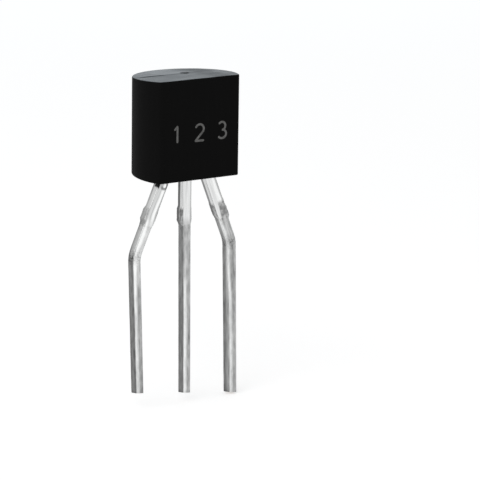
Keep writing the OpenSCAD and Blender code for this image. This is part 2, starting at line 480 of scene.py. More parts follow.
def lead_rows(node):
    """Where each ring of a lead sits, which way it lies and how far it reaches."""
    edges = outline_edges(node)
    line, right, back = middle_line(node)
    body = line[:-1]
    step = np.gradient(body, axis=0)
    step /= np.linalg.norm(step, axis=1)[:, None]
    across = np.column_stack((-step[:, 1], step[:, 0]))
    reach = np.array([edges_across(edges, p, d) for p, d in zip(body, across)])
    reach[:, 0] *= -1
    torn = square_stubs(node, reach)
    tip = line[-1]
    down = (tip - body[-1]) / np.linalg.norm(tip - body[-1])
    turns = np.radians(np.linspace(0, 90, TIP_ROWS))
    end = [tip - down * TIP_EDGE * (1 - math.sin(a)) for a in turns]
    inset = [TIP_EDGE * (1 - math.cos(a)) for a in turns]
    centre = np.vstack((body, end))
    across = np.vstack((across, np.repeat(across[-1:], TIP_ROWS, axis=0)))
    near_tip = np.clip(1 - (centre[:, 1] - tip[1]) / TIP_SKEW, 0, 1)[:, None]
    across = across * (1 - near_tip) + np.array((1.0, right)) * near_tip
    span = np.linalg.norm(np.diff(centre, axis=0), axis=1)
    heading = np.unwrap(np.arctan2(step[:, 1], step[:, 0]))
    bend = np.abs(np.gradient(heading)) / ROW_STEP * BEND_RADIUS
    ends = np.clip(1 - (centre[:, 1] - tip[1]) / TIP_DARK, 0, 1)
    return {
        "centre": np.insert(centre, 1, 0.0, axis=1),
        "across": np.insert(across, 1, 0.0, axis=1),
        "deep": [(0.0, 1.0, back * share) for share in near_tip[:, 0]],
        "bend": np.pad(np.clip(bend, 0, 1), (0, TIP_ROWS)),
        "ends": ends,
        "left": np.append(soften(reach[:, 0]), np.repeat(reach[-1, 0], TIP_ROWS)),
        "right": np.append(soften(reach[:, 1]), np.repeat(reach[-1, 1], TIP_ROWS)),
        "inset": np.pad(inset, (len(body), 0)),
        "torn": np.pad(torn, (0, TIP_ROWS)),
        "along": np.append(0, np.cumsum(span)),
    }


rows_of = {name: lead_rows(name) for name in LEAD_NAMES}
for name, rows in rows_of.items():
    print(name, len(rows["along"]), "rows, straight length in mm", round(rows["along"][-1] / MM, 2))

# %% The rounded section, as a ring of points
CORNER_STEPS = 4
SIDE_STEPS = 8


def section_points():
    """The core point and the outward direction of each point round a lead's section."""
    core = []
    out = []
    corners = [(1, -1), (1, 1), (-1, 1), (-1, -1)]
    for i, corner in enumerate(corners):
        for step in range(CORNER_STEPS + 1):
            turn = math.radians(90 * (i - 1 + step / CORNER_STEPS))
            core.append(corner)
            out.append((math.cos(turn), math.sin(turn)))
        across = np.array(corners[(i + 1) % 4]) - corner
        for step in range(1, SIDE_STEPS):
            core.append(corner + across * step / SIDE_STEPS)
            out.append(out[-1])
    return np.array(core, float), np.array(out)


def wire_object(name, points, edges, attributes):
    """A mesh of points and edges, with named numbers or vectors on the points."""
    mesh = bpy.data.meshes.new(name)
    mesh.from_pydata(points, edges, [])
    for key, values in attributes.items():
        values = np.asarray(values, float)
        kind = "FLOAT" if values.ndim == 1 else "FLOAT_VECTOR"
        field = "value" if values.ndim == 1 else "vector"
        mesh.attributes.new(key, kind, "POINT").data.foreach_set(field, values.ravel())
    return put(name, mesh)


LEAD_CORNER = 0.05 * MM

core, out = section_points()
lead_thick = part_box("base_lead")[1].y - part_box("base_lead")[0].y
ring = core * (lead_thick / 2 - LEAD_CORNER) + out * LEAD_CORNER
core, out, points = (np.pad(pairs, ((0, 0), (0, 1))) for pairs in (core, out, ring))
links = [(i, (i + 1) % len(ring)) for i in range(len(ring))]
section = wire_object("lead_section", points, links, {"core": core, "out": out})
print("points round a lead:", len(ring))

# %% [markdown]
# ## Tin on a stamped lead
# A press shears the sheet, so the sides of a lead have a bright burnished band beside one face and
# a dull grey break beside the other. The tin keeps that difference, and the sides are darkened
# further with painted shade, with painted light on the sides of a sloping run. A painted highlight
# runs as a bright band down each front face, with painted shade beside it on one lead and at the
# tips, and handling leaves streaks. Colours follow the numbers that the sweep stores: where a point
# lies across and along the lead, and which way it faces.

# %% Sizes and tones of the marks
EDGE = lead_thick / 2
# DULL_TIN is the dark tone of a side: partly the dull break of the shear, partly painted shade.
DULL_TIN = 0.2
BURNISHED_TIN = 0.6
DARKEST_TIN = 0.07
BRIGHTEST_TIN = 0.95
COPPER = (0.38, 0.27, 0.21, 1.0)
STREAK_SIZE = (0.05 * MM, 0.05 * MM, 1.1 * MM)
PATCH_SIZE = (0.12 * MM, 0.12 * MM, 2.4 * MM)
MOTTLE_SIZE = (0.13 * MM, 0.13 * MM, 0.5 * MM)
SMEAR_SIZE = (0.3 * MM, 0.05 * MM, 1.0 * MM)
SPECK_SIZE = 0.07 * MM
BLOT_SIZE = 0.2 * MM
BEAD_PLACE = TOP_INSIDE + 0.36 * MM
BEAD_SIDE = 0.06 * MM
BEAD_RADIUS = 0.12 * MM
BLACK_PATCH_REACH = (0.97 * MM, 0.87 * MM)
HANDLED = (5.2 * MM, 6.8 * MM)
LEAN = (0.1, 0.4)
SIDE_TURN = (0.3, 0.8)

root_end = max(rows["along"][rows["torn"] > 0.5][-1] for rows in rows_of.values())
print("roots end at, in mm along a lead:", round(root_end / MM, 2))

# %% Tin material: what the sweep stored, and the grain
tin, net = new_material("tinned_lead")
straight, grain, facing, drift = map(net.stored, ("straight", "grain", "facing", "drift"))
habit, at_root, wear, polish = map(net.stored, ("habit", "at_root", "wear", "polish"))
streaks = net.noise(grain, STREAK_SIZE, 3.0) - 0.5
patches = net.noise(grain, PATCH_SIZE, 2.0) - 0.5
mottle = net.noise(grain, MOTTLE_SIZE, 2.0) - 0.5
specks = net.noise(grain, SPECK_SIZE, 3.0)
blots = net.noise(grain, BLOT_SIZE, 1.5)
root = straight.z.clamp(root_end + 0.06 * MM, root_end - 0.02 * MM)
below = 1 - root
# Painted light: the sides of a sloping run are lighter, those that face up more than those that face
# down.
painted_light_facing_up = wear.z.clamp(*LEAN) * below
painted_light_facing_down = wear.z.clamp(-LEAN[0], -LEAN[1]) * below
side = facing.x.absolute().clamp(*SIDE_TURN)
net.tell("the grain")

# %% Tone of the sides: marks of the shear, with painted shade and painted light
burnished_to = root * (at_root.x * 0.27 + 0.213) * MM - 0.26 * MM + patches * 0.1 * MM
burnish = (straight.y - burnished_to).clamp(0.03 * MM, -0.03 * MM)
corner = straight.y.clamp(0.05 * MM, -EDGE)
# A side is partly the shear's own dull break and partly painted shade; the corner tone sets it next
# to the front.
shear_and_shade = corner * (wear.x - DULL_TIN + painted_light_facing_up * 0.4 + painted_light_facing_down * 0.08) + DULL_TIN + painted_light_facing_down * 0.05
shear_and_shade = shear_and_shade + painted_light_facing_up * 0.2 * straight.y.near(0.02 * MM, 0.16 * MM, 0.04 * MM)
shear_and_shade = shear_and_shade + (at_root.x - shear_and_shade) * root
side_tone = shear_and_shade + burnish * (BURNISHED_TIN - shear_and_shade) + streaks * (root * 0.2 + 0.2)
side_tone = side_tone + mottle * 0.25 - straight.z.clamp(*HANDLED) * 0.03
# Painted highlight: the bright band of the front face reaches over the front edge onto the side.
over_edge = drift.x * (-2.5 / MM) * straight.y.clamp(-0.08 * MM, -EDGE)
side_tone = side_tone + over_edge * below
net.tell("the sides")

# %% Tone of the faces, with a painted highlight band
# Painted highlight: a bright band runs down each front face. Its strength goes over from the stub to
# the tip, and the band drift moves it sideways.
from_band = straight.x - drift.x
band = (from_band - painted_light_facing_up * 0.05 * MM).clamp(0.05 * MM, -0.1 * MM) * (1 - wear.y * 0.6)
band = band * from_band.clamp(-0.19 * MM, -0.14 * MM)
# Painted shade beside the highlight band, set by the knee shade: darker below one lead's knee and
# lighter above it.
beside_band = from_band.clamp(0.02 * MM, 0.08 * MM) * straight.x.clamp(0.16 * MM, 0.04 * MM)
front_tone = polish.y + band * polish.x - drift.y * beside_band
front_tone = front_tone + streaks * 0.3 + patches * 0.3 + mottle * 0.5
# On the roots, the shine is a painted highlight line down the front face, and the right edge is
# darker as painted shade.
right_edge = straight.x.clamp(EDGE - 0.06 * MM, EDGE - 0.02 * MM)
shine = straight.x.near(0.1 * MM, 0.14 * MM, 0.03 * MM)
root_tone = shine * at_root.z + at_root.y - right_edge * 0.26
root_tone = root_tone + streaks * 0.5 + patches * 0.4
fading = straight.z.clamp(root_end + 0.04 * MM, root_end - 0.45 * MM) * 0.7 + root * 0.3
front_tone = front_tone + (root_tone - front_tone) * fading
tone = front_tone + (side_tone - front_tone) * side
# Painted shade: on the roots, the rounded corner beside a side that faces up is darkened.
tone = tone - side * (1 - side) * 2.4 * wear.z.clamp(0.1, 0.3) * root
net.tell("the faces")

# %% Marks of the cut tie bar and the bends, and painted shade at the tips
cut_side = facing.z.math("SIGN")
smear = (straight.x * cut_side - habit.x).clamp(-0.04 * MM, 0.04 * MM)
torn = facing.z.absolute() * (side + smear - side * smear) * (blots.clamp(0.35, 0.6) * 0.4 + 0.6)
tone = tone + (habit.y + streaks * 0.3 - tone) * torn
tool = wear.y * specks.clamp(0.45, 0.6) * below * 0.2
# Painted shade: the tips get darker, the sides and the right edge most.
painted_tip_shade = polish.z * (side * 0.3 + right_edge * 0.4 + 0.1) * (specks.clamp(0.3, 0.6) * 0.5 + 0.5)
net.tell("the cuts")

# %% Marks of one lead only: its bead of tin with a painted dark ring, a near-black patch below the case and a dark stub
only_here = habit.z.clamp(0.0, 0.01)
foot = straight.z.near(root_end - 0.09 * MM, 0.18 * MM, 0.05 * MM) * side * only_here
# A near-black patch on the side of this lead just below the case, which is also rougher.
black_patch = (straight.z + straight.x.absolute() * 0.8).clamp(*BLACK_PATCH_REACH) * only_here
black_patch = black_patch * straight.x.clamp(-0.15 * MM, -0.19 * MM) * straight.y.clamp(0.08 * MM, 0.03 * MM)
# A real bead of tin. Round it the tone is darkened in a painted ring of shade, darkest to the lower
# right.
bead_off = (straight - net.vector(BEAD_SIDE, -EDGE, BEAD_PLACE)) * (1 / BEAD_RADIUS)
painted_shade_lower_right = (bead_off.x + bead_off.z).clamp(-1.6, 0.8) * 0.7 + 0.3
bead_off = bead_off.length()
ring = bead_off.clamp(2.1, 1.3) * bead_off.clamp(0.5, 1.0) * only_here * painted_shade_lower_right
tone = (tone * (1 - foot * 0.35) - tool) * (1 - ring * 0.7) * (1 - painted_tip_shade)
tone = tone.limited(DARKEST_TIN, BRIGHTEST_TIN) * (1 - black_patch * 0.97)
net.tell("the marks")

# %% The tin, and the copper that shows in the cut ends
cut_face = net.facing().z.clamp(-0.7, -0.95)
smeared = net.noise(grain, SMEAR_SIZE, 2.0).clamp(0.4, 0.6)
silver = net.colour(tone * 0.992, tone, tone * 0.996)
dull = side * (1 - burnish) * 0.22 + torn * 0.4 + cut_face * 0.25 + black_patch * 0.4
finish_material(net, {
    "Base Color": net.mix(cut_face * (smeared * 0.6 + 0.2) * below, silver, COPPER),
    "Metallic": 1.0,
    "Roughness": streaks * 0.14 + 0.17 + dull,
    "Normal": net.bump(streaks * 0.6 + specks * 0.4, 0.004 * MM, 0.4),
})
net.tell("the tin")

# %% [markdown]
# ## The sweep
# Curve to Mesh makes the grid of faces, and carries over to it the numbers stored on the path and
# on the section. Every point can then be put exactly: middle line, plus so much sideways, plus so
# much towards the front. Ripples, torn stubs and a bead of tin are small moves outwards.

# %% Habits of the three leads
SAME_FOR_ALL = {
    "Thickness": lead_thick,
    "Corner radius": LEAD_CORNER,
    "Ripple height": 0.012 * MM,
    "Ripple length": 0.9 * MM,
    "Tear depth": 0.05 * MM,
    "Bead place": BEAD_PLACE,
    "Bead radius": BEAD_RADIUS,
}
ONE_FOR_EACH = {
    "Tin": (0.018 * MM, 0.013 * MM, 0.042 * MM),
    "Root edge": (0.36, 0.15, 0.24),
    "Root tone": (0.62, 0.72, 0.76),
    "Root shine": (0.34, 0.1, 0.1),
    "Painted highlight at the stub": (0.5, -0.1, 0.34),
    "Painted highlight at the tip": (0.42, 0.48, 0.34),
    "Face at the stub": (0.66, 0.48, 0.44),
    "Face at the tip": (0.35, 0.37, 0.37),
    "Corner tone": (0.17, 0.2, 0.36),
    "Cut side": (-1.0, -1.0, 1.0),
    "Cut start": (0.2 * MM, 0.19 * MM, -0.09 * MM),
    "Cut tone": (0.38, 0.2, 0.26),
    "Band drift": (0.0, 0.0, -0.12 * MM),
    "Knee shade": (0.0, 0.0, 0.12),
    "Bead height": (0.03 * MM, 0.0, 0.0),
    "Seed": (1.0, 2.0, 3.0),
}
print("tin per side, in mm:", [round(coat / MM, 3) for coat in ONE_FOR_EACH["Tin"]])

# %% The tree that sweeps a lead: path, section and inputs
def new_tree(name, numbers, objects=()):
    """A Geometry Nodes tree that takes a mesh and these named inputs, and its net."""
    tree = bpy.data.node_groups.new(name, "GeometryNodeTree")
    add = tree.interface.new_socket
    for kind, keys in (("Geometry", ["Geometry"]), ("Object", objects), ("Float", numbers)):
        for key in keys:
            add(key, in_out="INPUT", socket_type="NodeSocket" + kind)
    add("Geometry", in_out="OUTPUT", socket_type="NodeSocketGeometry")
    return tree, Net(tree)


def on_points(net, kind, *names):
    """What is stored on the points under each of these names."""
    node = "GeometryNodeInputNamedAttribute"
    return [net.node(node, {"Name": name}, data_type=kind) for name in names]


lead_tree, net = new_tree("swept_lead", (*SAME_FOR_ALL, *ONE_FOR_EACH), ("Section", "Inner part"))
given = net.node("NodeGroupInput").of
rail = net.node("GeometryNodeMeshToCurve", {"Mesh": given("Geometry")})
ring = net.node("GeometryNodeObjectInfo", {"Object": given("Section")}).of("Geometry")
ring = net.node("GeometryNodeMeshToCurve", {"Mesh": ring})
tube = net.node(
    "GeometryNodeCurveToMesh", {"Curve": rail, "Profile Curve": ring, "Fill Caps": True}
)
core, out, centre, across, deep = on_points(
    net, "FLOAT_VECTOR", "core", "out", "centre", "across", "deep"
)
left, right, inset, along, torn, bend, ends = on_points(
    net, "FLOAT", "left", "right", "inset", "along", "torn", "bend", "ends"
)
print("inputs of the lead tree:", len(lead_tree.interface.items_tree) - 1)

# %% Where each point of a lead lies
THINNING = 30 * MM
SEED_STEP = 20 * MM

radius = given("Corner radius")
coat = given("Tin") * (1 - along / THINNING) - radius - inset
half_width = (left + right) * 0.5 + coat
half_thick = given("Thickness") * 0.5 + coat
u = (right - left) * 0.5 + core.x * half_width + out.x * radius
v = core.y * half_thick + out.y * radius
place = net.vector(u, v, along + given("Seed") * SEED_STEP)
net.tell("the place of each point")

# %% What each point carries to the material
WORN_TO = 7.0 * MM
DRIFT = (WORN_TO, 4.6 * MM)
ABOVE_KNEE = (3.7 * MM, 3.2 * MM)
BELOW_KNEE = (3.5 * MM, 4.0 * MM)
KNEE_SHADE_END = (6.4 * MM, 5.4 * MM)

worn = along.clamp(root_end, WORN_TO)
above_knee = along.clamp(*ABOVE_KNEE)
below_knee = along.clamp(*BELOW_KNEE) * along.clamp(*KNEE_SHADE_END)


def stub_to_tip(word):
    """Goes over from an input's value at the stub to its value at the tip."""
    return given(word + " at the stub") * (1 - worn) + given(word + " at the tip") * worn


def store(net, geometry, vectors):
    """Stores vectors on the points, where the material finds them by name."""
    kept = {"data_type": "FLOAT_VECTOR", "domain": "POINT"}
    for name, value in vectors.items():
        inputs = {"Geometry": geometry, "Name": name, "Value": value}
        geometry = net.node("GeometryNodeStoreNamedAttribute", inputs, **kept)
    return geometry


tube = store(net, tube, {
    "straight": net.vector(u, v, along),
    "grain": place,
    "facing": net.vector(out.x, out.y, torn * given("Cut side")),
    # drift holds the sideways shift of the painted highlight band and the knee shade, which is
    # painted shade below the knee and painted light above it.
    "drift": net.vector(
        given("Band drift") * (along.clamp(*DRIFT) + above_knee * 0.1),
        given("Knee shade") * (below_knee - above_knee * 0.6),
        0.0,
    ),
    "habit": net.vector(given("Cut start"), given("Cut tone"), given("Bead height") / MM),
    "at_root": net.vector(given("Root edge"), given("Root tone"), given("Root shine")),
    "wear": net.vector(given("Corner tone"), bend, across.z * out.x),
    "polish": net.vector(stub_to_tip("Painted highlight"), stub_to_tip("Face"), ends),
})
net.tell("what a lead carries")

# %% Ripples, tears and the bead
TEAR_SIZE = 0.16 * MM
BEAD_STRETCH = 1.3

ripple = net.noise(place * (4.0, 4.0, 1.0), given("Ripple length")) - 0.5
ripple = ripple * given("Ripple height")
tear = net.noise(place, TEAR_SIZE, 3.0) - 0.5
tear = tear * given("Tear depth") * torn * out.x.absolute()
bead_radius = given("Bead radius")
bead_u = (u - BEAD_SIDE) / bead_radius
bead_w = (along - given("Bead place")) / (bead_radius * BEAD_STRETCH)
bead_off = (bead_u * bead_u + bead_w * bead_w).root()
bead = bead_off.clamp(1.0, 0.35) * out.y.clamp(-0.3, -0.9) * given("Bead height")
outwards = across * out.x + net.vector(0.0, out.y, 0.0)
spot = centre + across * u + deep * v + outwards * (ripple + tear + bead)
tube = net.node("GeometryNodeSetPosition", {"Geometry": tube, "Position": spot})
net.tell("the shape of the tin")

# %% Join the sweep with the part inside the case
def end_tree(net, geometry, material):
    """Realizes the instances, gives the material and closes the tree."""
    smooth = net.node("GeometryNodeSetShadeSmooth", {"Geometry": geometry})
    real = net.node("GeometryNodeRealizeInstances", {"Geometry": smooth})
    done = net.node("GeometryNodeSetMaterial", {"Geometry": real, "Material": material})
    net.node("NodeGroupOutput", {"Geometry": done})


inner = net.node("GeometryNodeObjectInfo", {"Object": given("Inner part")})
both = {"Mesh 2": [inner.of("Geometry"), tube]}
joined = net.node("GeometryNodeMeshBoolean", both, operation="UNION", solver="EXACT")
end_tree(net, joined, tin)
net.tell("the lead tree")

# %% The part of a lead inside the case
CUT_INSIDE = 0.15 * MM
SAME_POINT = 1e-8


def inner_part(node):
    """The part of a lead inside the case, cut off just above the underside."""
    mesh = bmesh.new()
    mesh.from_mesh(nodes[node].data)
    bmesh.ops.remove_doubles(mesh, verts=mesh.verts, dist=SAME_POINT)
    everything = mesh.verts[:] + mesh.edges[:] + mesh.faces[:]
    cut = bmesh.ops.bisect_plane(
        mesh, geom=everything, plane_co=(0, 0, CUT_INSIDE), plane_no=(0, 0, 1), clear_inner=True
    )
    loop = [e for e in cut["geom_cut"] if isinstance(e, bmesh.types.BMEdge)]
    bmesh.ops.contextual_create(mesh, geom=loop)
    data = bpy.data.meshes.new(node + "_inner")
    mesh.to_mesh(data)
    mesh.free()
    return put(node + "_inner", data)


inners = [inner_part(name) for name in LEAD_NAMES]
print("faces of each part inside:", [len(inner.data.polygons) for inner in inners])

# %% Make the three leads
def grow(name, source, tree, values):
    """Runs a tree on an object and keeps the result as a plain mesh object."""
    modifier = source.modifiers.new(tree.name, "NODES")
    modifier.node_group = tree
    sockets = {item.name: item.identifier for item in tree.interface.items_tree}
    for key, value in values.items():
        modifier[sockets[key]] = value
    depsgraph = bpy.context.evaluated_depsgraph_get()
    mesh = bpy.data.meshes.new_from_object(source.evaluated_get(depsgraph))
    mesh.name = name
    bpy.data.objects.remove(source)
    return put(name, mesh)


leads = {}
for i, name in enumerate(LEAD_NAMES):
    inner = inners[i]
    rows = rows_of[name]
    links = [(k, k + 1) for k in range(len(rows["along"]) - 1)]
    path = wire_object(name + "_path", rows["centre"], links, rows)
    habits = {key: values[i] for key, values in ONE_FOR_EACH.items()}
    inputs = {"Section": section, "Inner part": inner, **SAME_FOR_ALL, **habits}
    leads[name] = grow("tinned_" + name, path, lead_tree, inputs)
    bpy.data.objects.remove(inner)
    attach(leads[name], "root")
    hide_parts(name)
    print(leads[name].name, "faces:", len(leads[name].data.polygons))
bpy.data.objects.remove(section)

# %% [markdown]
# ## The moulded case
# Resin fills a steel mould in two parts. It copies them exactly: a smooth flat and round back, tiny
# rounded edges, a fine ridge down both sides where the parts met, a low step across the top, and a
# round scar where the resin came in. A grid in rows from the flat to the back suits this shape:
# rows crowd together at the step and the scar, and the last row closes in a point.

# %% Measure the case
CLEAR_X = -1.0 * MM
FRONT_PART = (-0.9 * MM, 0.0)
BACK_PART = (1.2 * MM, 1.8 * MM)

case_probe = surface_probe("case")
back_radius = case_high.y
flat = case_low.y
case_points = np.array([tuple(v.co) for v in nodes["case"].data.vertices])
on_flat = np.abs(case_points[:, 1] - flat) < 10 * SAME_POINT
half_flat = np.abs(case_points[on_flat, 0]).max()
corner_radius = (back_radius**2 - half_flat**2 - flat**2) / (2 * (back_radius + flat))


def height_line(near, far, way=-1):
    """Height along the case, as a straight line through two measured places."""
    low = case_probe(CLEAR_X, near, way)
    high = case_probe(CLEAR_X, far, way)
    rise = (high - low) / (far - near)
    return lambda y: low + (y - near) * rise


top_front = height_line(*FRONT_PART)
top_back = height_line(*BACK_PART)
underside = height_line(FRONT_PART[0], BACK_PART[1], way=1)
print("half the flat, in mm:", round(half_flat / MM, 3))

# %% Find the mould step and the gate
GATE_ZONE = 0.8
SUNK_FROM = 0.015 * MM
SUNK_TO = 0.1 * MM

step_low = FRONT_PART[1]
step_high = BACK_PART[0]
while step_high - step_low > SAME_POINT:
    middle = (step_low + step_high) / 2
    behind = case_probe(CLEAR_X, middle) > (top_front(middle) + top_back(middle)) / 2
    step_low, step_high = (step_low, middle) if behind else (middle, step_high)
step_y = (step_low + step_high) / 2
inside = np.hypot(case_points[:, 0], case_points[:, 1]) < GATE_ZONE * back_radius
depth = top_front(case_points[:, 1]) - case_points[:, 2]
sunk = case_points[inside & (depth > SUNK_FROM) & (depth < SUNK_TO)]
gate_x, gate_y = (sunk.min(axis=0) + sunk.max(axis=0))[:2] / 2
gate_radius = np.ptp(sunk[:, 0]) / 2
gate_depth = np.median(top_front(sunk[:, 1]) - sunk[:, 2])
found = np.array([step_y, gate_x, gate_y, gate_radius, gate_depth])
print("step, gate, its radius and depth in mm:", np.round(found / MM, 3))

# %% Rows and columns of the D-shaped grid
EDGE_RADIUS = 0.035 * MM
COLUMNS = 40
CORNER_ROWS = 8
BACK_ROWS = 60
SCAR_ROWS = 28
SCAR_REACH = 1.4
STEP_ROWS = 6
STEP_GAP = 0.008 * MM
RIM_COLUMN = 0.994
ROW_AT_SCAR = 0.95

scar_places = np.linspace(-SCAR_REACH, SCAR_REACH, SCAR_ROWS + 1) * gate_radius


def ways_at(turns):
    return np.column_stack((np.cos(turns), np.sin(turns)))


def outline_rows():
    """The right half of the outline from the flat to the back, with the way outwards."""
    centre = np.array((half_flat, flat + corner_radius))
    join = math.atan2(centre[1], centre[0])
    corner = np.linspace(-math.pi / 2, join, CORNER_ROWS + 1)[:-1]
    inner_radius = back_radius - EDGE_RADIUS
    coarse = np.radians(np.linspace(math.degrees(join), 90, BACK_ROWS + 1))
    scar = np.arcsin((gate_y + scar_places) / inner_radius)
    line = np.arcsin((step_y + np.arange(-STEP_ROWS, STEP_ROWS + 1) * STEP_GAP) / inner_radius)
    back = np.unique(np.concatenate((coarse, scar, line)).round(4))[:-1]
    places = np.vstack((centre + corner_radius * ways_at(corner), back_radius * ways_at(back)))
    return places, ways_at(np.append(corner, back))


def column_shares():
    """Places across a row from -1 to 1, close together over the scar and beside the rim."""
    even = np.linspace(-1, 1, COLUMNS + 1)
    scar = (gate_x + scar_places) / (back_radius * ROW_AT_SCAR)
    rim = np.array((-RIM_COLUMN, RIM_COLUMN))
    return np.unique(np.concatenate((even, scar, rim)).round(5))


places, ways = outline_rows()
shares = column_shares()
print("rows and columns:", len(places), len(shares))

# %% Heights of the top and the underside
STEP_WIDTH = 0.05 * MM
STEP_ON_LEFT = 0.8
WEAR_IN_MIDDLE = 0.35
WEAR_ON_RIGHT = 0.3
SCAR_EDGE = 1.08
SCAR_SLOPE = 0.22
SCAR_WOBBLE = 0.1
SCAR_FLOOR = 0.6
CRUMB_HEIGHT = 0.25


def ramp(values, start, length):
    """Rises from 0 at the start to 1 one length further on."""
    return np.clip((values - start) / length, 0, 1)


def eased(share):
    return share * share * (3 - 2 * share)


def top_height(x, y):
    """The top with its step, which fades out at the rim, and the rough scar of the gate."""
    full = top_back(y) - top_front(y)
    worn = STEP_ON_LEFT - WEAR_IN_MIDDLE * ramp(x, -0.8 * MM, 0.3 * MM)
    worn = worn - WEAR_ON_RIGHT * ramp(x, gate_x, 0.6 * MM)
    worn = worn * ramp(back_radius - np.hypot(x, y), 0.0, 0.5 * MM)
    behind = eased(ramp(y, step_y - STEP_WIDTH / 2, STEP_WIDTH))
    height = top_front(y) + full * (0.5 + worn * (behind - 0.5))
    away = np.hypot(x - gate_x, y - gate_y) / gate_radius
    wobble = SCAR_WOBBLE * np.sin(3 * np.arctan2(y - gate_y, x - gate_x) + 1.0)
    bowl = eased(ramp(SCAR_EDGE + wobble - away, 0.0, SCAR_SLOPE))
    crumbs = np.sin(x / (0.021 * MM)) * np.sin(y / (0.026 * MM) + x / (0.05 * MM))
    bottom = top_front(y) - gate_depth * (SCAR_FLOOR + CRUMB_HEIGHT * crumbs)
    return height + (bottom - height) * bowl


def under_height(x, y):
    return underside(y) + 0 * x


print("top at the back, in mm:", round(float(top_height(0.0, back_radius)) / MM, 3))

# %% One cap of the case
def add_cap(mesh, height, faces_up):
    """Adds a cap, and returns the loop round it: flat, right side, tip and left side."""
    rim = places - ways * EDGE_RADIUS
    x = rim[:, :1] * shares[None, :]
    y = np.repeat(rim[:, 1:], len(shares), axis=1)
    verts = [[mesh.verts.new(p) for p in row] for row in np.dstack((x, y, height(x, y)))]
    tip_y = back_radius - EDGE_RADIUS
    tip = mesh.verts.new((0.0, tip_y, float(height(0.0, tip_y))))
    for lower, upper in zip(verts, verts[1:]):
        for a, b, c, d in zip(lower, lower[1:], upper[1:], upper):
            mesh.faces.new((a, b, c, d) if faces_up else (d, c, b, a))
    for a, b in zip(verts[-1], verts[-1][1:]):
        mesh.faces.new((a, b, tip) if faces_up else (tip, b, a))
    return verts[0] + [row[-1] for row in verts[1:]] + [tip] + [row[0] for row in verts[:0:-1]]


def rim_ways():
    """The way outwards at each point of the loop round a cap."""
    across_flat = [(0.0, -1.0)] * len(shares)
    return np.vstack((across_flat, ways[1:], (0.0, 1.0), ways[:0:-1] * (-1, 1)))


print("points in the loop round a cap:", len(rim_ways()))

# %% The wall, and the closed case
RIDGE = 0.007 * MM
RIDGE_WIDTH = 0.03 * MM
FILLET_STEPS = 4
WALL_ROWS = 14


def wall_rings(top, under):
    """How far out and how high each ring of the wall lies, from the top down."""
    turns = np.radians(np.linspace(0, 90, FILLET_STEPS + 1))[1:]
    fillet = [(EDGE_RADIUS * math.sin(a), EDGE_RADIUS * (1 - math.cos(a))) for a in turns]
    start = top - EDGE_RADIUS
    fall = under + EDGE_RADIUS - start
    rings = [(reach, top - drop) for reach, drop in fillet]
    rings += [(EDGE_RADIUS, start + fall * i / WALL_ROWS) for i in range(1, WALL_ROWS)]
    return rings + [(reach, under + drop) for reach, drop in fillet[::-1]]


def stitch(mesh, upper, lower):
    """Closes the wall between two rings."""
    for a, b, c, d in zip(upper, lower, lower[1:] + lower[:1], upper[1:] + upper[:1]):
        mesh.faces.new((a, b, c, d))


def build_case():
    mesh = bmesh.new()
    top_loop = add_cap(mesh, top_height, faces_up=True)
    under_loop = add_cap(mesh, under_height, faces_up=False)
    top = np.array([tuple(v.co) for v in top_loop])
    under = np.array([tuple(v.co) for v in under_loop])
    ridge = 1 + RIDGE / EDGE_RADIUS * np.exp(-((top[:, 1] - step_y) / RIDGE_WIDTH) ** 2)
    upper = top_loop
    for reach, level in wall_rings(top[:, 2], under[:, 2]):
        spots = top[:, :2] + rim_ways() * (reach * ridge)[:, None]
        lower = [mesh.verts.new((x, y, z)) for (x, y), z in zip(spots, level)]
        stitch(mesh, upper, lower)
        upper = lower
    stitch(mesh, upper, under_loop)
    data = bpy.data.meshes.new("moulded_case")
    mesh.to_mesh(data)
    mesh.free()
    data.shade_smooth()
    return data


case_mesh = build_case()
moulded_case = put("moulded_case", case_mesh)
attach(moulded_case, "root")
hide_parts("case")
print("faces of the case:", len(case_mesh.polygons))

# %% [markdown]
# ## Black resin
# The resin is black with fine mineral powder in it. It mirrors very little, so a wall seen from the
# front is nearly black. Seen at a shallow angle even black resin shines, and the smooth top takes
# the tone of the room; its colour is also painted lighter and bluer as a painted sheen, most on the
# left. The walls rub the mould when the part is pushed out, so they are rougher.

# %% Resin material
GRIT_SIZE = 0.035 * MM
FLOW_SIZE = (1.4 * MM, 0.35 * MM, 2.0 * MM)
RUB_SIZE = (0.12 * MM, 0.12 * MM, 2.5 * MM)
RESIN_BLACK = 0.0055
WALL_ROUGHNESS = 0.62
TOP_ROUGHNESS = 0.32
PLAIN_GLAZE = 0.13
SWIRL_PLACE = (gate_x + 1.5 * MM, gate_y + 0.1 * MM, 0.0)

resin, net = new_material("black_resin")
place = net.place()
on_top = net.facing().z.clamp(0.6, 0.9)
grit = net.noise(place, GRIT_SIZE, 3.0)
flow = net.noise(place, FLOW_SIZE, 3.0)
rub = net.noise(place, RUB_SIZE, 2.0)
shade = (grit - 0.5) * 0.0014 + (rub - 0.5) * 0.0014 + RESIN_BLACK
# Painted sheen: the top's colour is lifted and made bluer, more so on the left.
painted_top_sheen = on_top * (flow.clamp(0.3, 0.7) * 0.4 + 0.8)
painted_cool_sheen = painted_top_sheen * place.x.clamp(1.2 * MM, -0.6 * MM)
wall_rough = (rub - 0.5) * 0.1 + WALL_ROUGHNESS
top_rough = (flow - 0.5) * 0.3 + TOP_ROUGHNESS
net.tell("the grit")

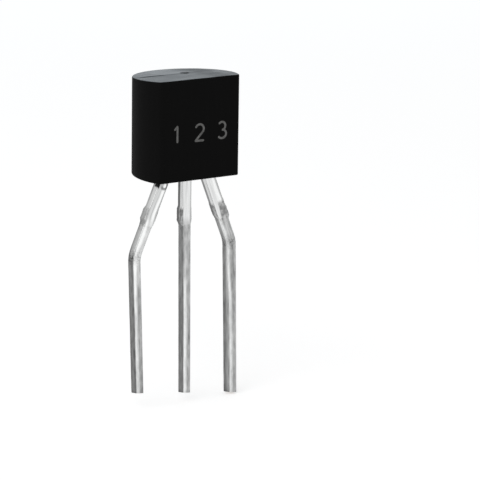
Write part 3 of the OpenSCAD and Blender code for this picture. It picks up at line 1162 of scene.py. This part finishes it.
# %% Glaze of the top
behind_step = place.y.clamp(step_y - 0.01 * MM, step_y + 0.02 * MM)
back_left = behind_step * place.x.clamp(0.9 * MM, 0.1 * MM)
glaze = PLAIN_GLAZE + back_left * (place.x.clamp(-1.2 * MM, -0.4 * MM) * 0.06 + 0.11)
glaze = glaze + (flow - 0.5) * 0.2 - place.x.clamp(0.2 * MM, 1.0 * MM) * 0.03
dip = place.x.near(1.3 * MM, 0.6 * MM, 0.25 * MM)
glaze = glaze - dip * 0.09 + place.x.clamp(1.6 * MM, 2.0 * MM) * 0.05
swirl = ((place - net.vector(*SWIRL_PLACE)) * (1.7 / MM, 3.0 / MM, 0.0)).length()
glaze = (glaze - swirl.clamp(1.2, 0.4) * on_top * 0.05).limited(0.0, 0.6)
finish_material(net, {
    "Base Color": net.colour(
        shade + painted_top_sheen * 0.006,
        shade + painted_top_sheen * 0.008 + painted_cool_sheen * 0.002,
        shade + painted_top_sheen * 0.01 + painted_cool_sheen * 0.004,
    ),
    "Coat Weight": on_top * glaze,
    "Coat Roughness": 0.25,
    "Coat IOR": 1.3,
    "Roughness": wall_rough + (top_rough - wall_rough) * on_top,
    "Specular IOR Level": 0.02,
    "Normal": net.bump(grit, 0.0025 * MM, 0.5),
})
case_mesh.materials.append(resin)
net.tell("the resin")

# %% [markdown]
# ## Numbers over the leads
# A laser burns a thin grey line into the resin. Here it writes only the plain numbers 1, 2 and 3,
# one over each lead. Each stroke is a path, and Geometry Nodes runs a flat rounded bead of burnt
# resin along it, with round ends and an uneven edge.

# %% Strokes of the numbers
NUMBER_HEIGHT = 0.74 * MM
NUMBER_PLACE = 0.47


def arc(centre, size, start, stop, steps=14):
    """Points of an oval arc, with angles in degrees from the right, anticlockwise."""
    turns = np.radians(np.linspace(start, stop, steps))
    return [(centre[0] + size[0] * math.cos(a), centre[1] + size[1] * math.sin(a)) for a in turns]


DIGITS = {
    "1": [(-0.2, 0.78), (0.02, 1.0), (0.02, 0.0)],
    "2": arc((0.0, 0.715), (0.29, 0.285), 165, -35) + [(-0.3, 0.0), (0.32, 0.0)],
    "3": arc((-0.01, 0.75), (0.25, 0.25), 150, -80) + arc((0.0, 0.265), (0.3, 0.265), 80, -152),
}


def number_paths():
    """One mesh of stroke paths on the flat, each number over its lead."""
    points = []
    edges = []
    level = case_low.z + NUMBER_PLACE * (case_high.z - case_low.z) - NUMBER_HEIGHT / 2
    for digit, lead in zip(DIGITS, LEAD_NAMES):
        over = rows_of[lead]["centre"][0][0]
        first = len(points)
        for x, z in DIGITS[digit]:
            points.append((over + x * NUMBER_HEIGHT, flat, level + z * NUMBER_HEIGHT))
        edges += [(i, i + 1) for i in range(first, len(points) - 1)]
    return wire_object("number_paths", points, edges, {})


print("points in each number:", {digit: len(stroke) for digit, stroke in DIGITS.items()})

# %% Burnt resin material
ASH_SIZE = 0.03 * MM
CLOUD_SIZE = 0.2 * MM
BURNT_GREY = 0.15

burnt, net = new_material("burnt_resin")
place = net.place()
ash = net.noise(place, ASH_SIZE, 3.0)
cloud = net.noise(place, CLOUD_SIZE, 2.0)
shade = (ash - 0.5) * 0.1 + (cloud - 0.5) * 0.14 + BURNT_GREY
finish_material(net, {
    "Base Color": net.colour(shade, shade * 0.99, shade * 0.97),
    "Roughness": ash * 0.2 + 0.7,
    "Specular IOR Level": 0.1,
    "Normal": net.bump(ash, 0.003 * MM, 0.6),
})
net.tell("the burnt resin")

# %% The tree that draws the strokes
STROKE_SIDES = 12
END_WIDTH = 1.02
WANDER_SIZE = 0.06 * MM
STROKE_SIZES = {
    "Stroke width": 0.1 * MM,
    "Rise": 0.004 * MM,
    "Unevenness": 0.016 * MM,
    "Row length": 0.015 * MM,
}

stroke_tree, net = new_tree("burnt_strokes", STROKE_SIZES)
given = net.node("NodeGroupInput").of
strokes = net.node("GeometryNodeMeshToCurve", {"Mesh": given("Geometry")})
rows = {"Curve": strokes, "Length": given("Row length")}
strokes = net.node("GeometryNodeResampleCurve", rows, mode="LENGTH")
run = net.node("GeometryNodeSplineParameter").of("Length")
whole = net.node("GeometryNodeSplineLength")
half_stroke = given("Stroke width") * 0.5
to_end = run.math("MINIMUM", whole - run) / half_stroke
short = 1 - to_end.limited(0.0, 1.0)
roundness = (END_WIDTH - short * short).root()
sides = {"Resolution": STROKE_SIDES, "Radius": half_stroke}
circle = net.node("GeometryNodeCurvePrimitiveCircle", sides, mode="RADIUS").of("Curve")
strokes = net.node("GeometryNodeSetCurveRadius", {"Curve": strokes, "Radius": 1.0})
bead = net.node("GeometryNodeCurveToMesh", {
    "Curve": strokes, "Profile Curve": circle, "Scale": roundness, "Fill Caps": True,
})
spot = net.node("GeometryNodeInputPosition")
uneven = net.node("ShaderNodeTexNoise", {"Vector": spot / WANDER_SIZE, "Scale": 1.0})
wander = (uneven.of("Color") - 0.5) * given("Unevenness")
level = net.vector(spot.x, flat - (spot.y * -1 + flat) * (given("Rise") / half_stroke), spot.z)
moved = level + wander * (1.0, 0.0, 1.0)
bead = net.node("GeometryNodeSetPosition", {"Geometry": bead, "Position": moved})
end_tree(net, bead, burnt)
net.tell("the stroke tree")

# %% Draw the numbers
numbers = grow("lead_numbers", number_paths(), stroke_tree, STROKE_SIZES)
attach(numbers, "root")
print("faces of the numbers:", len(numbers.data.polygons))

# %% [markdown]
# ## Inside the case
# Nobody sees the chip until the case is cut open. It still gets its own finishes: dull solder with
# a grain, polished silicon with the fine lanes that a saw leaves between chips, and gold wire with
# the faint lines of the die that it was drawn through.

# %% Solder, silicon and gold
SOLDER_GRAIN = 0.02 * MM
SAW_LANE = 0.04 * MM
DRAWN_LINE = (0.05 * MM, 0.006 * MM, 0.006 * MM)


def finish_node(node, material):
    """Puts a material on a CAD part without touching its mesh."""
    if not nodes[node].material_slots:
        nodes[node].data.materials.append(material)
    for slot in nodes[node].material_slots:
        slot.material = material


solder, net = new_material("solder")
grain = net.noise(net.place(), SOLDER_GRAIN, 3.0)
finish_material(net, {
    "Base Color": net.mix(grain, grey(0.42, 0.02), grey(0.62, 0.03)),
    "Metallic": 1.0,
    "Roughness": grain * 0.3 + 0.35,
    "Normal": net.bump(grain, 0.002 * MM, 0.5),
})
silicon, net = new_material("silicon")
saw = {"Vector": net.place() / SAW_LANE, "Scale": 1.0, "Distortion": 0.5}
lanes = net.node("ShaderNodeTexWave", saw, wave_type="BANDS", bands_direction="Z").of("Fac")
finish_material(net, {
    "Base Color": net.mix(lanes, grey(0.16, 0.12), grey(0.24, 0.2)),
    "Metallic": 0.85,
    "Roughness": lanes * 0.08 + 0.12,
})
gold, net = new_material("drawn_gold")
drawn = net.noise(net.place(), DRAWN_LINE, 2.0)
finish_material(net, {
    "Base Color": net.mix(drawn, (0.86, 0.6, 0.2, 1.0), (0.98, 0.78, 0.36, 1.0)),
    "Metallic": 1.0,
    "Roughness": drawn * 0.15 + 0.15,
    "Normal": net.bump(drawn, 0.0005 * MM, 0.5),
})
finish_node("die_attach", solder)
finish_node("die", silicon)
finish_node("emitter_bond_wire", gold)
finish_node("base_bond_wire", gold)
print("hidden materials:", solder.name, silicon.name, gold.name)

# %% [markdown]
# ## Sizes and the end
# Only the tin and the ridge may stand proud of the box of the CAD parts, by a few hundredths of a
# millimetre.
